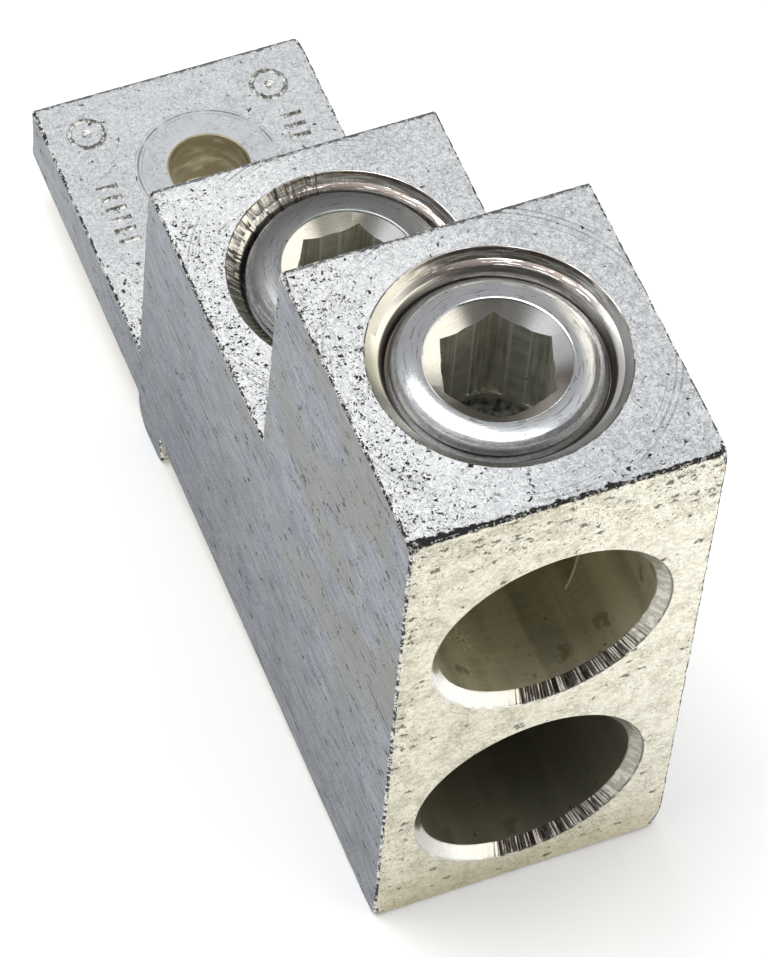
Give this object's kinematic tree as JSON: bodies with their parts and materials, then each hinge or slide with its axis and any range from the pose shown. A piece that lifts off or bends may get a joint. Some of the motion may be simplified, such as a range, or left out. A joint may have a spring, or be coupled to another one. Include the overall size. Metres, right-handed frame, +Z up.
{
  "type": "mechanical lug",
  "caption": "Stepped aluminium mechanical lug: a tongue with a stud hole, stacked blind wire ports in the front face, and a hex-socket set screw above each port.",
  "frame": {"origin": "on the stud hole's axis, on the contact face under the tongue", "axes": "+X across the bar, +Y from the wire ports to the tongue's end, +Z up along the stud hole and the set screws"},
  "size_m": [0.0382, 0.1249, 0.0872],
  "materials": {
    "tin_plated_aluminium": "satin tin plate",
    "screw_metal": "bright turned"
  },
  "bodies": {
    "lug": {"lug_body": "tin_plated_aluminium"},
    "front_screw": {"front_set_screw": "screw_metal"},
    "rear_screw": {"rear_set_screw": "screw_metal"}
  },
  "joints": [
    {"name": "front_screw_travel", "type": "slide", "parent": "lug", "child": "front_screw", "axis": [0, 0, 1], "range_m": [-0.01016, 0.00889]},
    {"name": "rear_screw_travel", "type": "slide", "parent": "lug", "child": "rear_screw", "axis": [0, 0, 1], "range_m": [-0.01016, 0.00889]}
  ]
}
